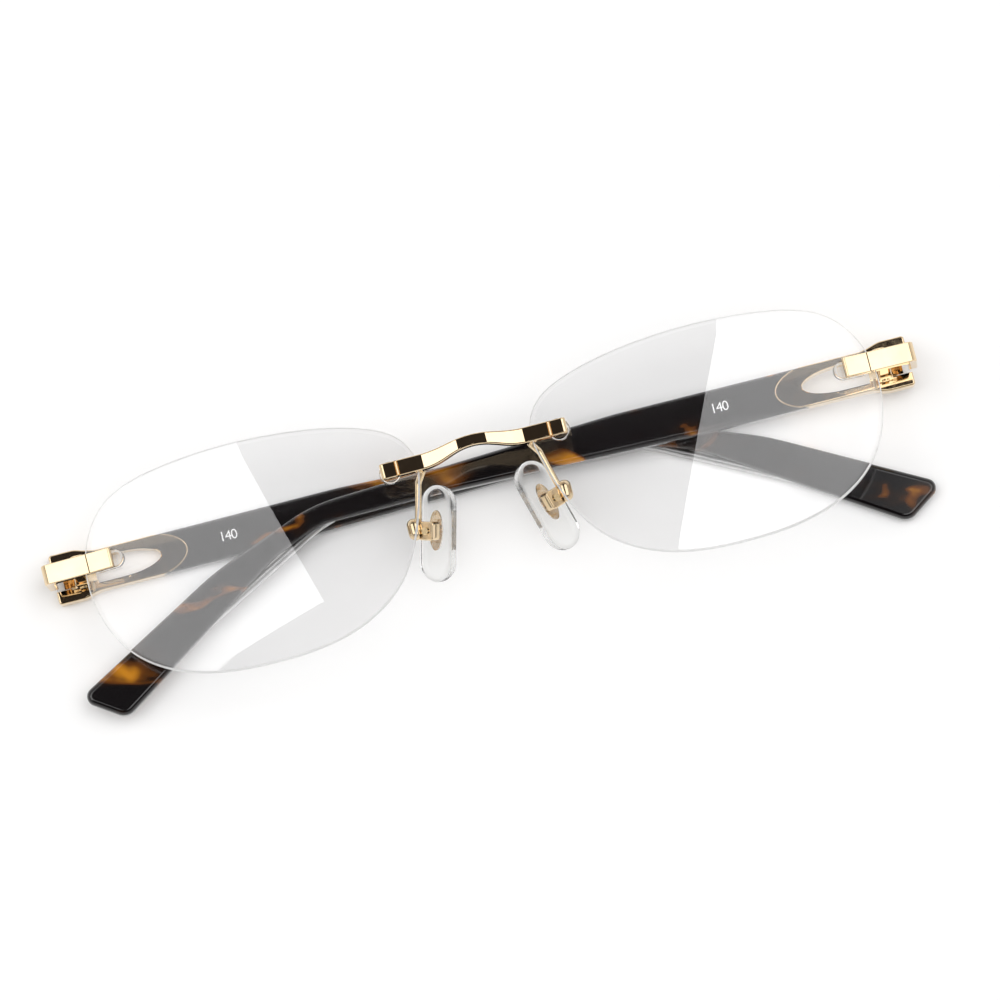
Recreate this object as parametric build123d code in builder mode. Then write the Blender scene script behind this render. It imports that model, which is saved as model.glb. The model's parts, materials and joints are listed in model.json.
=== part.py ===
"""Rimless eyeglasses, size 54-18-140, lying folded and face up on their own temples.

Frames, all in millimetres:
- lying frame: +X towards the wearer's left, +Y towards the wearer's brow, +Z up from the table.
- front frame: the same axes, z = 0 on the hinge pins and x = 0 on the nose; the front is drawn here
  and then tilted, because one folded temple lies on top of the other.
- temple frame: the hinge pin is the origin, and the right temple runs along +X when folded.
Each mirrored piece is drawn once, for one side, and then reflected.
"""

import os
from math import asin, atan2, cos, degrees, radians, sin, sqrt

from build123d import *

os.makedirs("parts", exist_ok=True)

# ---- Driving dimensions ---------------------------------------------------------------------------
PIVOT_X = 64.1  # hinge pin, from the nose line
TEMPLE_T = 2.8  # thickness of the flat temples
STACK_GAP = 0.5  # air between the two folded temples
PIVOT_RISE = 1.9  # hinge pin above the inner face of its temple
CENTRE_X = 0.08  # these two move the middle of the folded outline onto the origin
CENTRE_Y = 5.47

LENS_R = 120.0  # front curve of the lens
LENS_T = 1.8
LENS_C = (27.8, -4.95, -108.3)  # centre of that curve, in the front frame
LENS_NASAL = 9.2
LENS_TOP = 12.4
LENS_BOTTOM = -22.3

BAR_H = 3.1  # height of the endpiece bar
BAR_IN = 58.1  # its end over the lens
BAR_OUT = 69.35  # its outer side
BAR_SIDE_T = 1.4
BAR_BACK = -0.5  # how far back the side of the endpiece reaches

BRIDGE_X = 14.75  # half the length of the bridge
BRIDGE_Y = 1.8
BRIDGE_H = 2.43
BRIDGE_RISE = 1.3  # arch of its middle
BRIDGE_WAIST = 1.75  # height at the middle

PIN_R = 0.45
SLEEVE_R = 0.75
FIT = 0.02  # between a pin and its sleeve, and a sleeve and its lens
RUN = 0.05  # running clearance of a hinge

LEAF_Y = 1.7  # inner face of a hinge leaf
LEAF_T = 0.55
LEAF_R = 1.3
KNUCKLE_R = 1.2
KNUCKLE_Y = 1.62
SCREW_R = 0.6

HEAD_END = -4.4  # free end of the temple head, past the hinge pin
HEAD_TOP = 4.15
HEAD_LOW = -3.8
BAND_Y = 3.18  # half the height of the temple beside the head
SLOT_Y = 1.75
SLOT_END = 0.9
WINDOW = (2.6, 12.9)  # the light opening in the head
WINDOW_Y = 1.95
ARCH = (10.5, 17.1)  # where the metal ends in the acetate
EDGE_R = 0.8  # rounding of the acetate edges
HEAD_EDGE_R = 0.3
CORE_R = 0.6

PAD_W = 6.2
PAD_L = 15.0
PAD_CENTRE = (8.7, -8.5, 3.9)
PAD_SPLAY = 35.0  # turn of the pad towards the nose
PAD_LEAN = 18.5  # the lower end stands further out
STEM_Y = 0.5  # pad stem above the middle of the pad

# ---- Frames worked out from them ------------------------------------------------------------------
STEP = TEMPLE_T + STACK_GAP
LOW_PIVOT_Z = TEMPLE_T + PIVOT_RISE
TILT = degrees(asin(STEP / (2 * PIVOT_X)))
PIVOT_SPAN = PIVOT_X * cos(radians(TILT))

FRONT_FRAME = Location((CENTRE_X, CENTRE_Y, LOW_PIVOT_Z + STEP / 2), (0, -TILT, 0))
LEFT_FRAME = Location((CENTRE_X + PIVOT_SPAN, CENTRE_Y, LOW_PIVOT_Z + STEP))
RIGHT_FRAME = Location((CENTRE_X - PIVOT_SPAN, CENTRE_Y, LOW_PIVOT_Z))

OUTER_Z = -PIVOT_RISE - TEMPLE_T  # outer face of a temple in its own frame
MID_Z = -PIVOT_RISE - TEMPLE_T / 2


def place(drawn, name, frame, reflect=False):
    """Put a drawn piece in the lying frame, and write it under its name."""
    with BuildPart() as piece:
        with Locations(frame):
            if reflect:
                add(mirror(drawn.part, about=Plane.YZ, mode=Mode.PRIVATE))
            else:
                add(drawn.part)
    piece.part.label = name
    export_step(piece.part, f"parts/{name}.step")


def place_front_pair(drawn, name):
    """A piece of the front, drawn on the wearer's left, and its reflection."""
    place(drawn, f"{name}_left", FRONT_FRAME)
    place(drawn, f"{name}_right", FRONT_FRAME, reflect=True)


def place_temple_pair(drawn, name):
    """A piece of the right temple, and its reflection on the left one."""
    place(drawn, f"{name}_right", RIGHT_FRAME)
    place(drawn, f"{name}_left", LEFT_FRAME, reflect=True)


def lens_plane(x, y):
    """The plane that touches the lens front at x, y, with its normal pointing forwards."""
    dx = x - LENS_C[0]
    dy = y - LENS_C[1]
    dz = sqrt(LENS_R**2 - dx**2 - dy**2)
    return Plane(origin=(x, y, LENS_C[2] + dz), x_dir=(dz, 0, -dx), z_dir=(dx, dy, dz))


ENDPIECE_SEAT = lens_plane(60.2, 0)
BRIDGE_SEAT = lens_plane(13.2, BRIDGE_Y)
ENDPIECE_PINS = [(-0.9, 0), (0.9, 0)]
BRIDGE_PINS = [(0, 0)]

splay = radians(PAD_SPLAY)
lean = radians(PAD_LEAN)
PAD_PLANE = Plane(
    origin=PAD_CENTRE,
    x_dir=(cos(lean) * cos(splay), sin(lean), -cos(lean) * sin(splay)),
    z_dir=(sin(splay), 0, cos(splay)),
)

# ---- Lenses ---------------------------------------------------------------------------------------
with BuildPart() as lens:
    with BuildSketch():
        with BuildLine():
            Spline(
                (LENS_NASAL, 3.6),
                (11.4, 7.0),
                (16.5, 9.6),
                (25, 11.5),
                (36, LENS_TOP),
                (48, 11.75),
                (57.7, 8.6),
                (62.3, 1.6),
                (62.5, -7.2),
                (58.2, -15.6),
                (49.5, -20.7),
                (37.5, LENS_BOTTOM),
                (25, -20.9),
                (16, -15.6),
                (10.9, -6.4),
                (9.4, -1.2),
                periodic=True,
            )
        make_face()
    extrude(amount=14)
    with Locations(LENS_C):
        Sphere(LENS_R, rotation=(90, 0, 0), mode=Mode.INTERSECT)
        Sphere(LENS_R - LENS_T, rotation=(90, 0, 0), mode=Mode.SUBTRACT)
    with BuildSketch(ENDPIECE_SEAT):
        with Locations(*ENDPIECE_PINS):
            Circle(SLEEVE_R + FIT)
    extrude(amount=6, both=True, mode=Mode.SUBTRACT)
    with BuildSketch(BRIDGE_SEAT):
        with Locations(*BRIDGE_PINS):
            Circle(SLEEVE_R + FIT)
    extrude(amount=6, both=True, mode=Mode.SUBTRACT)
    rims = lens.edges().sort_by(SortBy.LENGTH)[-2:]
    chamfer(rims, 0.2)
place_front_pair(lens, "lens")

# ---- Endpieces: a flat bar over the lens, turned back at its outer end -----------------------------
GROOVE_X = 62.1
with BuildPart() as endpiece:
    with BuildSketch(Plane.XZ):
        with BuildLine():
            Polyline(
                (BAR_IN, 9.15),
                (GROOVE_X, 8.3),
                (BAR_OUT, 7.7),
                (BAR_OUT, BAR_BACK),
                (BAR_OUT - BAR_SIDE_T, BAR_BACK),
                (BAR_OUT - BAR_SIDE_T, 5.4),
                (67.2, 6.1),
                (62.6, 6.64),
                (BAR_IN, 7.82),
                close=True,
            )
        make_face()
    extrude(amount=BAR_H / 2, both=True)
    across = endpiece.edges().filter_by(Axis.Y)
    fillet(across.sort_by_distance((BAR_OUT, 0, 7.7))[0], 1.1)
    fillet(endpiece.edges().filter_by(Axis.Y).sort_by_distance((BAR_IN, 0, 9.15))[0], 0.5)
    long_edges = endpiece.faces().sort_by(Axis.Y)[-1].edges() + endpiece.faces().sort_by(Axis.Y)[0].edges()
    chamfer(long_edges, 0.14)
    with Locations((GROOVE_X, 0, 8.42)):
        Box(0.16, BAR_H + 1, 0.4, mode=Mode.SUBTRACT)
    with BuildSketch(ENDPIECE_SEAT.offset(0.45)):
        with Locations(*ENDPIECE_PINS):
            Circle(PIN_R)
    extrude(amount=-3.75)
place_front_pair(endpiece, "endpiece")

# ---- Clear bushings behind the lenses, with sleeves through them -----------------------------------
BUSH_FRONT = -LENS_T - 0.1
with BuildPart() as endpiece_bushing:
    with BuildSketch(ENDPIECE_SEAT.offset(BUSH_FRONT)):
        with Locations((-0.5, 0)):
            SlotOverall(5.8, 2.8)
    extrude(amount=-1.1)
    fillet(endpiece_bushing.faces().sort_by(Axis.Z)[0].edges(), 0.35)
    with BuildSketch(ENDPIECE_SEAT.offset(BUSH_FRONT)):
        with Locations(*ENDPIECE_PINS):
            Circle(SLEEVE_R)
    extrude(amount=LENS_T)
    with BuildSketch(ENDPIECE_SEAT):
        with Locations(*ENDPIECE_PINS):
            Circle(PIN_R + FIT)
    extrude(amount=6, both=True, mode=Mode.SUBTRACT)
place_front_pair(endpiece_bushing, "endpiece_bushing")

# ---- Bridge: an arched bar, straight over each lens ------------------------------------------------
CAP_X = 12.1  # groove behind the end cap
ARCH_X = 8.0  # where the arch begins
CAP_Z = 12.15  # front of the level ends
CROWN_X = 2.3  # half the level crown
CROWN_Z = 12.7
ends_low = BRIDGE_Y - BRIDGE_H / 2
ends_high = BRIDGE_Y + BRIDGE_H / 2
middle_low = BRIDGE_Y + BRIDGE_RISE - BRIDGE_WAIST / 2
middle_high = middle_low + BRIDGE_WAIST
with BuildPart() as bridge:
    with BuildSketch():
        with BuildLine():
            Line((0, middle_low), (0, middle_high))
            Spline((0, middle_high), (ARCH_X, ends_high), tangents=((1, 0), (1, 0)))
            Polyline(
                (ARCH_X, ends_high),
                (BRIDGE_X, ends_high),
                (BRIDGE_X, ends_low),
                (ARCH_X, ends_low),
            )
            Spline((ARCH_X, ends_low), (0, middle_low), tangents=((-1, 0), (-1, 0)))
        make_face()
    extrude(amount=16)
    with BuildSketch(Plane.XZ) as side_view:
        with BuildLine():
            Line((0, CROWN_Z), (0, 11.0))
            Spline((0, 11.0), (9, 10.26), (BRIDGE_X, 10.98), tangents=((1, 0), (1, 0.12)))
            FilletPolyline(
                (BRIDGE_X, 10.98),
                (BRIDGE_X, CAP_Z),
                (ARCH_X, CAP_Z),
                (CROWN_X, CROWN_Z),
                (0, CROWN_Z),
                radius=0.6,
            )
        make_face()
    extrude(amount=10, both=True, mode=Mode.INTERSECT)
    front_faces = bridge.faces().filter_by(lambda face: face.normal_at().Z > 0.6)
    fillet(front_faces.edges().filter_by(lambda edge: abs((edge % 0.5).Y) < 0.5), 0.22)
    with Locations((CAP_X, BRIDGE_Y, CAP_Z)):
        Box(0.36, BRIDGE_H + 1, 0.36, rotation=(0, 45, 0), mode=Mode.SUBTRACT)
    with BuildSketch(BRIDGE_SEAT.offset(0.5)):
        with Locations(*BRIDGE_PINS):
            Circle(PIN_R)
    extrude(amount=-3.8)
    mirror(about=Plane.YZ)
place(bridge, "bridge", FRONT_FRAME)

with BuildPart() as bridge_bushing:
    with BuildSketch(BRIDGE_SEAT.offset(BUSH_FRONT)):
        Circle(1.7)
    extrude(amount=-1.1)
    fillet(bridge_bushing.faces().sort_by(Axis.Z)[0].edges(), 0.35)
    with BuildSketch(BRIDGE_SEAT.offset(BUSH_FRONT)):
        Circle(SLEEVE_R)
    extrude(amount=LENS_T)
    with BuildSketch(BRIDGE_SEAT):
        Circle(PIN_R + FIT)
    extrude(amount=6, both=True, mode=Mode.SUBTRACT)
place_front_pair(bridge_bushing, "bridge_bushing")

# ---- Hinges: two leaves on the endpiece, a knuckle on the temple, and a screw ----------------------
with BuildPart() as hinge_leaves:
    with BuildSketch(Plane.XZ.offset(LEAF_Y)):
        with Locations((PIVOT_X, 0)):
            Circle(LEAF_R)
        with Locations((PIVOT_X, 1.2)):
            Rectangle(1.6, 2.4)
        with BuildLine():
            Polyline(
                (PIVOT_X, 1.0),
                (PIVOT_X + 1.8, 0.15),
                (PIVOT_X + 1.8, -0.15),
                (PIVOT_X, -1.2),
                close=True,
            )
        make_face()
        with Locations((PIVOT_X, 0)):
            Circle(SCREW_R + FIT, mode=Mode.SUBTRACT)
    extrude(amount=LEAF_T)
    mirror(about=Plane.XZ)
    with Locations((PIVOT_X, 0, 1.95)):
        Box(1.6, 2 * (LEAF_Y + LEAF_T), 0.9)
    with Locations((PIVOT_X, 0, 4.2)):
        Box(1.3, 2.6, 5)
    add(endpiece.part, mode=Mode.SUBTRACT)
place_front_pair(hinge_leaves, "hinge_leaves")

with BuildPart() as hinge_screw:
    with BuildSketch(Plane.XZ.offset(-LEAF_Y - LEAF_T)):
        with Locations((PIVOT_X, 0)):
            Circle(1.05)
    extrude(amount=-0.5)
    chamfer(hinge_screw.faces().sort_by(Axis.Y)[-1].edges(), 0.12)
    with Locations((PIVOT_X, LEAF_Y + LEAF_T + 0.5, 0)):
        Box(2.4, 0.5, 0.3, mode=Mode.SUBTRACT)
    with BuildSketch(Plane.XZ.offset(-LEAF_Y - LEAF_T)):
        with Locations((PIVOT_X, 0)):
            Circle(SCREW_R)
    extrude(amount=2 * (LEAF_Y + LEAF_T) + 0.15)
place_front_pair(hinge_screw, "hinge_screw")

with BuildPart() as hinge_knuckle:
    with BuildSketch(Plane.XZ):
        Circle(KNUCKLE_R)
        with BuildLine():
            Polyline(
                (-3.0, -PIVOT_RISE),
                (-3.0, -PIVOT_RISE - 0.4),
                (SLOT_END - FIT, -PIVOT_RISE - 0.4),
                (SLOT_END - FIT, -PIVOT_RISE),
                (2.5, -PIVOT_RISE),
                (2.5, -1.5),
                (1.1, -0.4),
                (-0.5, -1.0),
                (-0.8, -PIVOT_RISE),
                close=True,
            )
        make_face()
        Circle(SCREW_R + RUN, mode=Mode.SUBTRACT)
    extrude(amount=KNUCKLE_Y, both=True)
place_temple_pair(hinge_knuckle, "hinge_knuckle")

# ---- Pad arms, boxes, screws, and the pads with the shields inside them -----------------------------
with BuildPart() as pad_box:
    with BuildSketch(PAD_PLANE.offset(1.5)):
        with Locations((0, STEM_Y)):
            RectangleRounded(2.8, 2.9, 0.5)
    extrude(amount=1.7)
    fillet(pad_box.faces().sort_by(Axis((0, 0, 0), PAD_PLANE.z_dir))[-1].edges(), 0.2)
    with BuildSketch(PAD_PLANE.offset(1.5)):
        with Locations((0, STEM_Y)):
            Circle(0.7 + RUN)
    extrude(amount=0.7, mode=Mode.SUBTRACT)
    with BuildSketch(PAD_PLANE):
        with Locations((0, STEM_Y)):
            Circle(0.3)
    extrude(amount=5, mode=Mode.SUBTRACT)
place_front_pair(pad_box, "pad_box")

PAD_ARM_R = 0.52
ball = (12.05, -7.3, 5.6)
with BuildPart() as pad_loop:
    with Locations(ball):
        Cylinder(1.1, 3.3, rotation=(90, 0, 0))
    fillet(pad_loop.edges().filter_by(GeomType.CIRCLE), 1.0)

with BuildPart() as pad_arm:
    with BuildLine():
        route = FilletPolyline(
            (8.3, 1.6, 11.2),
            (8.4, 1.1, 8.0),
            (9.7, -0.6, 6.9),
            (11.1, -6.0, 6.2),
            ball,
            radius=1.1,
        )
    with BuildSketch(Plane(origin=route @ 0, z_dir=route % 0)):
        Circle(PAD_ARM_R)
    sweep()
    add(pad_loop.part)
    add(pad_box.part, mode=Mode.SUBTRACT)
    add(bridge.part, mode=Mode.SUBTRACT)
place_front_pair(pad_arm, "pad_arm")

with BuildPart() as pad_screw:
    with BuildSketch(PAD_PLANE.offset(3.2)):
        with Locations((0, STEM_Y)):
            Circle(0.6)
    extrude(amount=0.25)
    with BuildSketch(PAD_PLANE.offset(3.35)):
        with Locations((0, STEM_Y)):
            Rectangle(2, 0.16)
    extrude(amount=1, mode=Mode.SUBTRACT)
    with BuildSketch(PAD_PLANE.offset(0.9)):
        with Locations((0, STEM_Y)):
            Circle(0.26)
    extrude(amount=2.3)
place_front_pair(pad_screw, "pad_screw")

with BuildPart() as pad_plate:
    with BuildSketch(PAD_PLANE.offset(0.1)):
        with Locations((0, STEM_Y)):
            Ellipse(1.25, 3.1)
    extrude(amount=0.4)
    with BuildSketch(PAD_PLANE.offset(0.5)):
        with Locations((0, STEM_Y)):
            Circle(0.7)
    extrude(amount=1.6)
    with BuildSketch(PAD_PLANE.offset(0.8)):
        with Locations((0, STEM_Y)):
            Circle(0.3)
    extrude(amount=2, mode=Mode.SUBTRACT)
place_front_pair(pad_plate, "pad_plate")

with BuildPart() as nose_pad:
    with BuildSketch(PAD_PLANE.offset(-1.1)):
        SlotOverall(PAD_L, PAD_W, rotation=90)
    extrude(amount=2)
    pad_faces = nose_pad.faces().sort_by(Axis((0, 0, 0), PAD_PLANE.z_dir))
    fillet(pad_faces[0].edges() + pad_faces[-1].edges(), 0.8)
    add(pad_plate.part, mode=Mode.SUBTRACT)
    with BuildSketch(PAD_PLANE.offset(0.8)):
        with Locations((0, STEM_Y)):
            Circle(0.3)
    extrude(amount=2, mode=Mode.SUBTRACT)
place_front_pair(nose_pad, "nose_pad")

# ---- Temples: a flat arm with a drop end; the head is metal, the rest acetate on a core wire --------
OUTLINE = [  # corners of the temple, each with the radius that rounds it
    ((HEAD_END, HEAD_TOP), 0.5),
    ((-0.3, HEAD_TOP), 4),
    ((2.8, BAND_Y), 6),
    ((42, 3.3), 60),
    ((91, 1.2), 25),
    ((108, -5.3), 40),
    ((133.1, -19.2), 1.5),
    ((126.4, -23.8), 2.2),
    ((98, -5.2), 12),
    ((90, -2.1), 12),
    ((70, -1.9), 60),
    ((30, -3.1), 60),
    ((2.8, -BAND_Y), 6),
    ((-0.3, HEAD_LOW), 4),
    ((HEAD_END, HEAD_LOW), 0.5),
]
with BuildSketch(Plane.XY.offset(OUTER_Z)) as temple_plan:
    with BuildLine():
        FilletPolyline(
            *[corner for corner, radius in OUTLINE],
            radius=[radius for corner, radius in OUTLINE],
            close=True,
        )
    make_face()

with BuildPart() as head_blank:
    add(temple_plan.sketch)
    extrude(amount=TEMPLE_T)
    fillet(faces().filter_by(Axis.Z).edges(), HEAD_EDGE_R)

with BuildPart() as arm_blank:
    add(temple_plan.sketch)
    extrude(amount=TEMPLE_T)
    fillet(faces().filter_by(Axis.Z).edges(), EDGE_R)

with BuildPart() as arch_block:
    with BuildSketch(Plane.XY.offset(OUTER_Z - 1)):
        with Locations((ARCH[0], 0)):
            Ellipse(ARCH[1] - ARCH[0], BAND_Y + 0.15)
        with Locations(((ARCH[0] + HEAD_END - 2) / 2, 0)):
            Rectangle(ARCH[0] - HEAD_END + 2, 12)
    extrude(amount=TEMPLE_T + 2)

with BuildPart() as temple_head:
    add(head_blank.part)
    add(arch_block.part, mode=Mode.INTERSECT)
    with BuildSketch(Plane.XY.offset(OUTER_Z - 1)):
        with Locations(((HEAD_END - 2 + SLOT_END) / 2, 0)):
            Rectangle(SLOT_END - HEAD_END + 2, 2 * SLOT_Y)
        with Locations(((WINDOW[0] + 6.6) / 2, 0)):
            Rectangle(6.6 - WINDOW[0], 2 * WINDOW_Y)
        with Locations((6.6, 0)):
            Ellipse(WINDOW[1] - 6.6, WINDOW_Y)
    extrude(amount=TEMPLE_T + 2, mode=Mode.SUBTRACT)
    for level in (OUTER_Z, OUTER_Z + TEMPLE_T):
        flat_edges = temple_head.edges().filter_by_position(Axis.Z, level - 0.01, level + 0.01)
        window_rim = flat_edges.filter_by_position(Axis.X, WINDOW[0] - 0.1, WINDOW[1] + 0.1)
        chamfer(window_rim.filter_by(lambda edge: abs(edge.center().Y) < WINDOW_Y + 0.05), 0.15)
place_temple_pair(temple_head, "temple_head")

with BuildPart() as temple_core:
    with BuildLine():
        wire = FilletPolyline(
            (ARCH[1] + 0.01, 0, MID_Z),
            (60, 0.15, MID_Z),
            (88, -0.9, MID_Z),
            (119, -17.2, MID_Z),
            radius=22,
        )
    with BuildSketch(Plane(origin=wire @ 0, z_dir=wire % 0)):
        Circle(CORE_R)
    sweep()
    add(temple_head.part, mode=Mode.SUBTRACT)
place_temple_pair(temple_core, "temple_core")

with BuildPart() as temple_arm:
    add(arm_blank.part)
    add(arch_block.part, mode=Mode.SUBTRACT)
    add(temple_core.part, mode=Mode.SUBTRACT)
place_temple_pair(temple_arm, "temple_arm")
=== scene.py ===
"""Rimless eyeglasses, folded on a pale table: materials, size marks, gold lines, light and camera."""

import json
from math import asin, cos, pi, radians, sin

import bpy
from mathutils import Matrix, Vector


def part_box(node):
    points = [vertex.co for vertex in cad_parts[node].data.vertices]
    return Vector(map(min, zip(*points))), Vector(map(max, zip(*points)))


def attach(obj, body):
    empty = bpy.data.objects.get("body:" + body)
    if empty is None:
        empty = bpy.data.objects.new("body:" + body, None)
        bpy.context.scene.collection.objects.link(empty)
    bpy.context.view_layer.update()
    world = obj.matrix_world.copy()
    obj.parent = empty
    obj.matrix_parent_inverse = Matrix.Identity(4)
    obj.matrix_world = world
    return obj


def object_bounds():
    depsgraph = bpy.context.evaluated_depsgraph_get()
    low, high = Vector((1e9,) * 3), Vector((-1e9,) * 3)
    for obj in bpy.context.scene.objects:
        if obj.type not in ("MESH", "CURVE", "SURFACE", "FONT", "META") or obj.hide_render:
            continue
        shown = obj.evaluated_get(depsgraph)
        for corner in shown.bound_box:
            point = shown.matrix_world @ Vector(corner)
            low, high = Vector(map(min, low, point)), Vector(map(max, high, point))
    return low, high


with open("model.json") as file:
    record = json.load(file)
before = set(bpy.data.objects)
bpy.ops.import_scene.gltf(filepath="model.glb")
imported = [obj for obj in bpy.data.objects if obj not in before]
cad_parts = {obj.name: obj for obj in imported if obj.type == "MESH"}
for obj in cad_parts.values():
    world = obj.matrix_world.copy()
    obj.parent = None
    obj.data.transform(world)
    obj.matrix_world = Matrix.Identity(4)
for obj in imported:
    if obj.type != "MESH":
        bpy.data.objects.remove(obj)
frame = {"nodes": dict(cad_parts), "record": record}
CAD_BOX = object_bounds()

MM = 0.001
SCENE = bpy.context.scene

# ---- Camera -----------------------------------------------------------------------------------------
VIEW_DISTANCE = 1.4
VIEW_ELEVATION = 82.0
VIEW_ROLL = 14.15
VIEW_WIDTH = 0.1537
VIEW_TARGET = Vector((1.8, -1.05, 15.0)) * MM
SENSOR_WIDTH = 36.0
CLIP = (0.01, 20.0)

# ---- Lights and walls: the softboxes are level, and higher than the camera --------------------------
BOX_HEIGHT = 2.2
BOX_LIGHT = 1.9  # radiance of both softboxes
SOFTBOXES = {  # inner lower corner, direction of the inner edge, direction outwards, length, width
    "left": ((-0.126, -0.388), (0.412, 0.911), (0.911, -0.412), 1.9, 1.9),
    "right": ((-0.195, -0.092), (-0.271, 0.963), (-0.963, -0.271), 1.6, 1.9),
}
FILL_POWER = 43.0
FILL_SIZE = 2.6
FILL_HEIGHT = 3.0
WALLS = [  # Z of the direction looked in, and colour: pale walls, and dark overhead
    (0.0, (0.85, 0.84, 0.83)),
    (0.50, (0.75, 0.74, 0.73)),
    (0.68, (0.030, 0.026, 0.025)),
]
FLOOR_HALF = 3.0
FLOOR_DROP = 0.00002  # keeps the table clear of the temple that lies on it


# ---- Node helpers -----------------------------------------------------------------------------------
def new_material(name):
    """A new node material, with its tree and its Principled shader."""
    mat = bpy.data.materials.new(name)
    mat.use_nodes = True
    tree = mat.node_tree
    return mat, tree, tree.nodes["Principled BSDF"]


def add_node(tree, kind, inputs=None, **props):
    """A node of that kind, with its properties and unlinked inputs set."""
    node = tree.nodes.new(kind)
    for key, value in props.items():
        setattr(node, key, value)
    for key, value in (inputs or {}).items():
        node.inputs[key].default_value = value
    return node


def add_ramp(tree, factor, stops):
    """A colour ramp on a factor socket, from (position, colour) stops."""
    ramp = add_node(tree, "ShaderNodeValToRGB")
    tree.links.new(factor, ramp.inputs["Fac"])
    points = ramp.color_ramp.elements
    while len(points) < len(stops):
        points.new(1.0)
    for point, (position, colour) in zip(points, stops):
        point.position = position
        point.color = (*colour, 1.0)
    return ramp.outputs["Color"]


def add_bump(tree, shader, height, strength, distance):
    """Bump from a height socket, on the shader's normal."""
    bump = add_node(tree, "ShaderNodeBump", {"Strength": strength, "Distance": distance})
    tree.links.new(height, bump.inputs["Height"])
    tree.links.new(bump.outputs["Normal"], shader.inputs["Normal"])


def object_noise(
    tree, scale, detail=2.0, roughness=0.5, distortion=0.0, offset=(0, 0, 0), stretch=(1, 1, 1)
):
    """Noise in the object's own coordinates, so it stays on the piece when it moves."""
    place = add_node(tree, "ShaderNodeTexCoord")
    shift = add_node(tree, "ShaderNodeMapping")
    shift.inputs["Location"].default_value = offset
    shift.inputs["Scale"].default_value = stretch
    noise = add_node(
        tree,
        "ShaderNodeTexNoise",
        {"Scale": scale, "Detail": detail, "Roughness": roughness, "Distortion": distortion},
    )
    tree.links.new(place.outputs["Object"], shift.inputs["Vector"])
    tree.links.new(shift.outputs["Vector"], noise.inputs["Vector"])
    return noise.outputs["Fac"]


def grey_ramp(tree, factor, low, high, dark, light):
    """A ramp from one grey to another."""
    return add_ramp(tree, factor, [(low, (dark,) * 3), (high, (light,) * 3)])


# ---- Materials --------------------------------------------------------------------------------------
def gold_material():
    mat, tree, shader = new_material("polished_gold")
    tone = object_noise(tree, 220.0, detail=3.0)
    colour = add_ramp(tree, tone, [(0.3, (0.80, 0.62, 0.39)), (0.7, (0.87, 0.69, 0.46))])
    tree.links.new(colour, shader.inputs["Base Color"])
    shader.inputs["Metallic"].default_value = 1.0
    wear = grey_ramp(tree, object_noise(tree, 900.0, detail=4.0), 0.35, 0.75, 0.025, 0.07)
    tree.links.new(wear, shader.inputs["Roughness"])
    add_bump(tree, shader, object_noise(tree, 260.0, detail=1.0), 0.03, 0.0002)
    return mat


def screw_material():
    mat, tree, shader = new_material("gold_screw")
    tone = object_noise(tree, 500.0)
    colour = add_ramp(tree, tone, [(0.3, (0.78, 0.60, 0.34)), (0.7, (0.92, 0.74, 0.46))])
    tree.links.new(colour, shader.inputs["Base Color"])
    shader.inputs["Metallic"].default_value = 1.0
    shader.inputs["Roughness"].default_value = 0.16
    add_bump(tree, shader, object_noise(tree, 1500.0, detail=2.0), 0.1, 0.0001)
    return mat


def clear_material(name, tint, shade, ior, roughness, ripple):
    """Clear glass or plastic. Shadow and diffuse rays go straight through it, dimmed by the shade."""
    mat, tree, shader = new_material(name)
    shader.inputs["Base Color"].default_value = (*tint, 1.0)
    shader.inputs["Transmission Weight"].default_value = 1.0
    shader.inputs["IOR"].default_value = ior
    shader.inputs["Roughness"].default_value = roughness
    add_bump(tree, shader, object_noise(tree, 120.0, detail=1.0), ripple, 0.0002)
    path = add_node(tree, "ShaderNodeLightPath")
    through = add_node(tree, "ShaderNodeBsdfTransparent", {"Color": (*shade, 1.0)})
    mix = add_node(tree, "ShaderNodeMixShader")
    either = add_node(tree, "ShaderNodeMath", operation="MAXIMUM")
    tree.links.new(path.outputs["Is Shadow Ray"], either.inputs[0])
    tree.links.new(path.outputs["Is Diffuse Ray"], either.inputs[1])
    tree.links.new(either.outputs["Value"], mix.inputs["Fac"])
    tree.links.new(shader.outputs["BSDF"], mix.inputs[1])
    tree.links.new(through.outputs["BSDF"], mix.inputs[2])
    tree.links.new(mix.outputs["Shader"], tree.nodes["Material Output"].inputs["Surface"])
    return mat


def tortoise_material(name, offset):
    """Polished dark acetate with amber flecks that show deep in it."""
    mat, tree, shader = new_material(name)
    cloud = object_noise(
        tree, 150.0, detail=2.5, roughness=0.5, distortion=0.5, offset=offset, stretch=(0.55, 1, 1)
    )
    colour = add_ramp(
        tree,
        cloud,
        [
            (0.535, (0.0028, 0.0019, 0.0025)),
            (0.592, (0.0110, 0.0036, 0.0014)),
            (0.632, (0.120, 0.037, 0.0030)),
            (0.68, (0.500, 0.195, 0.0080)),
        ],
    )
    tree.links.new(colour, shader.inputs["Base Color"])
    shader.inputs["Roughness"].default_value = 0.12
    shader.inputs["IOR"].default_value = 1.5
    shader.inputs["Coat Weight"].default_value = 0.6
    shader.inputs["Coat Roughness"].default_value = 0.03
    add_bump(tree, shader, object_noise(tree, 90.0, detail=1.0), 0.05, 0.0003)
    return mat


def ground_material():
    """The ground rim of a lens: the same glass, gone milky."""
    mat, tree, shader = new_material("ground_rim")
    grain = grey_ramp(tree, object_noise(tree, 3000.0, detail=3.0), 0.3, 0.7, 0.80, 0.93)
    tree.links.new(grain, shader.inputs["Base Color"])
    shader.inputs["Transmission Weight"].default_value = 0.25
    shader.inputs["IOR"].default_value = 1.5
    shader.inputs["Roughness"].default_value = 0.35
    add_bump(tree, shader, object_noise(tree, 5000.0), 0.15, 0.00005)
    return mat


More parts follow.
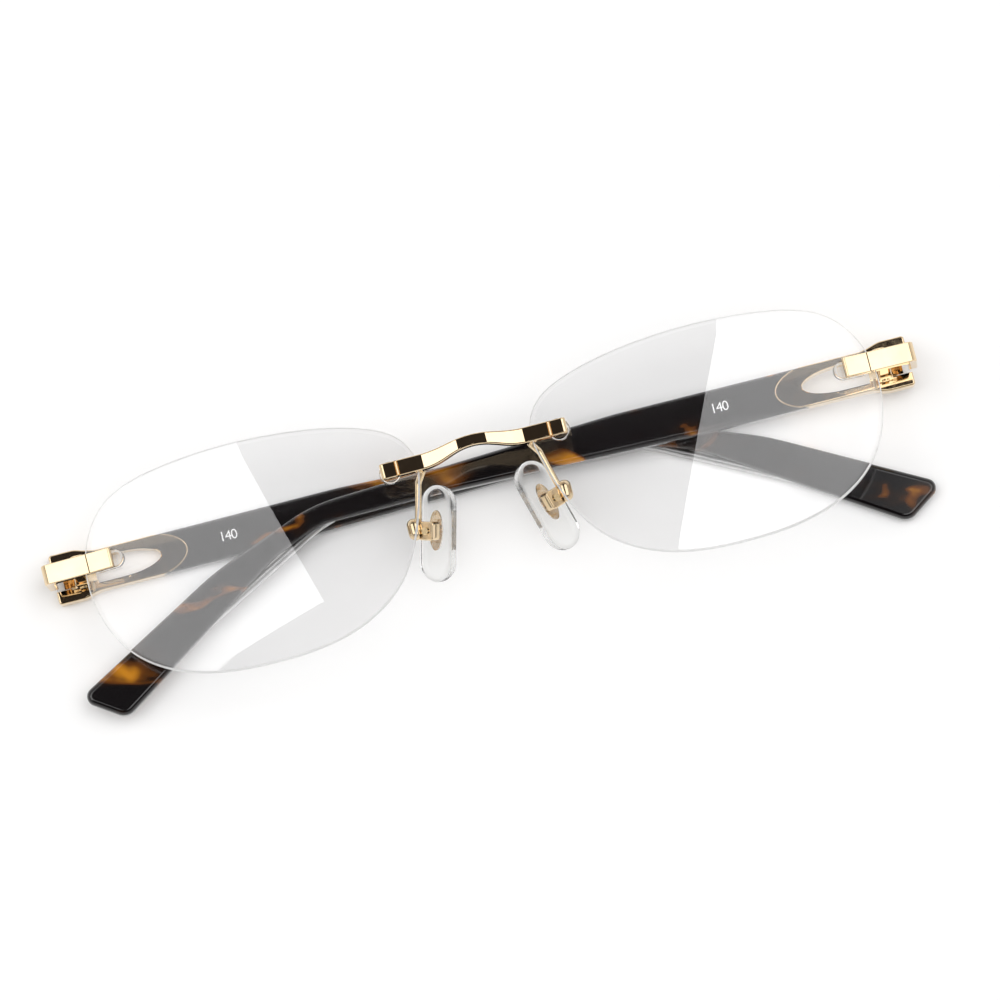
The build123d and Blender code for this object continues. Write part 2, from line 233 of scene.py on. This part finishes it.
def print_material():
    mat, tree, shader = new_material("white_print")
    colour = grey_ramp(tree, object_noise(tree, 2500.0), 0.3, 0.7, 0.75, 0.88)
    tree.links.new(colour, shader.inputs["Base Color"])
    shader.inputs["Roughness"].default_value = 0.5
    return mat


def wire_material():
    mat, tree, shader = new_material("core_wire")
    colour = grey_ramp(tree, object_noise(tree, 400.0), 0.3, 0.7, 0.50, 0.62)
    tree.links.new(colour, shader.inputs["Base Color"])
    shader.inputs["Metallic"].default_value = 1.0
    shader.inputs["Roughness"].default_value = 0.3
    return mat


def floor_material():
    mat, tree, shader = new_material("pale_table")
    colour = grey_ramp(tree, object_noise(tree, 3.0), 0.3, 0.7, 0.92, 0.94)
    tree.links.new(colour, shader.inputs["Base Color"])
    shader.inputs["Roughness"].default_value = 0.7
    shader.inputs["Specular IOR Level"].default_value = 0.1
    return mat


GOLD = gold_material()
SCREW = screw_material()
LENS = clear_material(
    "clear_lens", tint=(0.99, 0.99, 0.993), shade=(0.965,) * 3, ior=1.67, roughness=0.0, ripple=0.0
)
PLASTIC = clear_material(
    "clear_plastic", tint=(0.96, 0.955, 0.95), shade=(0.92,) * 3, ior=1.46, roughness=0.03, ripple=0.2
)
SILICONE = clear_material(
    "pad_silicone", tint=(0.975, 0.98, 0.975), shade=(0.93,) * 3, ior=1.41, roughness=0.04, ripple=0.3
)
WIRE = wire_material()
RIM = ground_material()
TORTOISE = {
    "left": tortoise_material("tortoise_left", (0.013, 0.021, 0.0)),
    "right": tortoise_material("tortoise_right", (0.057, -0.034, 0.02)),
}
BY_SLOT = {
    "gold": GOLD,
    "screw_steel": SCREW,
    "clear_lens": LENS,
    "clear_plastic": PLASTIC,
    "pad_silicone": SILICONE,
    "core_wire": WIRE,
}
RIM_SLOPE = 0.85  # a lens face whose normal has less Z than this is its rim or a drilled hole


def dress_cad_nodes():
    """Give each CAD node its material, and the rims of the lenses theirs."""
    slot_of = {part["node"]: part["material_slot"] for part in frame["record"]["subparts"]}
    for name, obj in frame["nodes"].items():
        side = name.rsplit("_", 1)[-1]
        is_lens = name.startswith("lens")
        mat = TORTOISE[side] if name.startswith("temple_arm") else BY_SLOT[slot_of[name]]
        obj.data.materials.clear()
        obj.data.materials.append(mat)
        if is_lens:
            obj.data.materials.append(RIM)
        for face in obj.data.polygons:
            face.material_index = int(is_lens and abs(face.normal.z) < RIM_SLOPE)


dress_cad_nodes()


# ---- Size marks: the temple length, printed on the inner face of each temple ------------------------
MARK_HEIGHT = 1.5 * MM
MARK_DEPTH = 0.012 * MM
MARK_SPACING = 0.88
DIGIT_SHARE = 0.7  # height of a digit in the font, over its size
PRINT = print_material()


def print_mark(side, x, y):
    """The printed temple length, centred at x, y on the upper face of a folded temple."""
    text = bpy.data.curves.new(f"size_text_{side}", "FONT")
    text.body = "140"
    text.size = MARK_HEIGHT / DIGIT_SHARE
    text.align_x = "CENTER"
    text.align_y = "CENTER"
    text.space_character = MARK_SPACING
    text.extrude = MARK_DEPTH / 2
    drawn = bpy.data.objects.new(f"size_text_{side}", text)
    SCENE.collection.objects.link(drawn)
    bpy.context.view_layer.update()
    depsgraph = bpy.context.evaluated_depsgraph_get()
    mesh = bpy.data.meshes.new_from_object(drawn.evaluated_get(depsgraph))
    bpy.data.objects.remove(drawn)
    mark = bpy.data.objects.new(f"size_mark_{side}", mesh)
    SCENE.collection.objects.link(mark)
    mark.location = (x, y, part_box(f"temple_arm_{side}")[1].z + MARK_DEPTH / 2)
    mesh.materials.clear()
    mesh.materials.append(PRINT)
    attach(mark, f"temple_{side}")


print_mark("left", 38.2 * MM, 5.64 * MM)
print_mark("right", -40.3 * MM, 5.64 * MM)

# ---- Fine raised gold lines: the arch of each temple head, and the end caps of the bridge -----------
HEAD_END = 4.4 * MM  # from the free end of the head to the hinge pin
HEAD_TOP = 4.15 * MM  # from the pin to the upper side
ARCH_AT = 10.5 * MM
ARCH_LONG = 6.6 * MM
ARCH_WIDE = 3.33 * MM
ARCH_REACH = radians(62)
ARCH_POINTS = 25
LINE_R = 0.11 * MM
LINE_SUNK = 0.35  # of its radius

TEMPLE_STEP = 3.3  # mm that the left temple lies higher than the right one
PIVOT_GAP = 128.2  # mm between the hinge pins
FRONT_TILT = asin(TEMPLE_STEP / PIVOT_GAP)
FRONT_CENTRE = Vector((0.08, 5.47, 6.35)) * MM
CAP_X = 12.1  # this and the next two in mm, in the frame of the front
CAP_Y = (0.75, 2.85)
CAP_Z = 12.15
CAP_LINE_R = 0.17 * MM


def gold_line(name, points, radius, body):
    """A round gold line along the points, in metres, that rides on a body."""
    line = bpy.data.curves.new(name, "CURVE")
    line.dimensions = "3D"
    line.bevel_depth = radius
    line.bevel_resolution = 3
    line.resolution_u = 8
    line.use_fill_caps = True
    spline = line.splines.new("NURBS")
    spline.points.add(len(points) - 1)
    for control, place in zip(spline.points, points):
        control.co = (*place, 1)
    spline.order_u = min(4, len(points))
    spline.use_endpoint_u = True
    obj = bpy.data.objects.new(name, line)
    SCENE.collection.objects.link(obj)
    line.materials.append(GOLD)
    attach(obj, body)


def arch_points(side):
    """Along the arch, on the upper face of the folded temple."""
    low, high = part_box(f"temple_head_{side}")
    inward = 1 if side == "right" else -1
    pivot_x = low.x + HEAD_END if side == "right" else high.x - HEAD_END
    pivot_y = high.y - HEAD_TOP
    points = []
    for i in range(ARCH_POINTS):
        turn = ARCH_REACH * (2 * i / (ARCH_POINTS - 1) - 1)
        x = pivot_x + inward * (ARCH_AT + ARCH_LONG * cos(turn))
        points.append((x, pivot_y + ARCH_WIDE * sin(turn), high.z - LINE_R * LINE_SUNK))
    return points


def front_point(x, y, z):
    """A point of the front's own frame, in mm, as a point of the lying frame, in metres."""
    across = x * cos(FRONT_TILT) - z * sin(FRONT_TILT)
    upwards = x * sin(FRONT_TILT) + z * cos(FRONT_TILT)
    turned = Vector((across, y, upwards))
    return FRONT_CENTRE + turned * MM


for hand, sign in (("left", 1), ("right", -1)):
    cap_points = [front_point(sign * CAP_X, y, CAP_Z) for y in CAP_Y]
    gold_line(f"arch_line_{hand}", arch_points(hand), LINE_R, f"temple_{hand}")
    gold_line(f"cap_line_{hand}", cap_points, CAP_LINE_R, "front")


# ---- Stage ------------------------------------------------------------------------------------------
def make_floor():
    mesh = bpy.data.meshes.new("floor")
    corners = [(x * FLOOR_HALF, y * FLOOR_HALF, 0) for x, y in ((-1, -1), (1, -1), (1, 1), (-1, 1))]
    mesh.from_pydata(corners, [], [(0, 1, 2, 3)])
    floor = bpy.data.objects.new("floor", mesh)
    floor.location.z = CAD_BOX[0].z - FLOOR_DROP
    SCENE.collection.objects.link(floor)
    mesh.materials.append(floor_material())


def make_softbox(name, corner, edge, out, length, width):
    """A level softbox, from its inner lower corner, along its inner edge and outwards."""
    along = Vector((*edge, 0)).normalized()
    outwards = Vector((*out, 0)).normalized()
    centre = Vector((*corner, BOX_HEIGHT)) + along * length / 2 + outwards * width / 2
    light = bpy.data.lights.new(name, "AREA")
    light.shape = "RECTANGLE"
    light.size = width
    light.size_y = length
    light.energy = BOX_LIGHT * pi * width * length
    lamp = bpy.data.objects.new(name, light)
    z_axis = Vector((0, 0, 1))
    turn = Matrix((outwards, z_axis.cross(outwards), z_axis)).transposed().to_4x4()
    lamp.matrix_world = Matrix.Translation(centre) @ turn
    SCENE.collection.objects.link(lamp)
    return lamp


def keep_off(lamp, node):
    """The softbox on one side leaves no reflection in the lens of the other side."""
    group = bpy.data.collections.new(f"{lamp.name}_off")
    group.objects.link(frame["nodes"][node])
    group.collection_objects[0].light_linking.link_state = "EXCLUDE"
    lamp.light_linking.receiver_collection = group


def make_lights():
    for side, other in (("left", "right"), ("right", "left")):
        keep_off(make_softbox(f"softbox_{side}", *SOFTBOXES[side]), f"lens_{other}")
    fill = bpy.data.lights.new("overhead_fill", "AREA")
    fill.shape = "DISK"
    fill.size = FILL_SIZE
    fill.energy = FILL_POWER
    lamp = bpy.data.objects.new("overhead_fill", fill)
    lamp.location = (0, 0, FILL_HEIGHT)
    lamp.visible_glossy = False
    lamp.visible_transmission = False
    SCENE.collection.objects.link(lamp)


def make_world():
    world = bpy.data.worlds.new("studio")
    SCENE.world = world
    world.use_nodes = True
    tree = world.node_tree
    where = add_node(tree, "ShaderNodeTexCoord")
    split = add_node(tree, "ShaderNodeSeparateXYZ")
    tree.links.new(where.outputs["Generated"], split.inputs["Vector"])
    walls = add_ramp(tree, split.outputs["Z"], WALLS)
    tree.links.new(walls, tree.nodes["Background"].inputs["Color"])


def make_camera():
    data = bpy.data.cameras.new("camera")
    camera = bpy.data.objects.new("camera", data)
    SCENE.collection.objects.link(camera)
    elevation = radians(VIEW_ELEVATION)
    roll = radians(VIEW_ROLL)
    back = Vector((0, -cos(elevation), sin(elevation)))
    up = Vector((sin(roll), cos(roll), 0))
    right = up.cross(back).normalized()
    up = back.cross(right)
    turn = Matrix((right, up, back)).transposed().to_4x4()
    camera.matrix_world = Matrix.Translation(VIEW_TARGET + back * VIEW_DISTANCE) @ turn
    data.sensor_width = SENSOR_WIDTH
    data.lens = data.sensor_width * VIEW_DISTANCE / VIEW_WIDTH
    data.clip_start, data.clip_end = CLIP
    SCENE.camera = camera


make_floor()
make_lights()
make_world()
make_camera()
SCENE.view_settings.view_transform = "Standard"
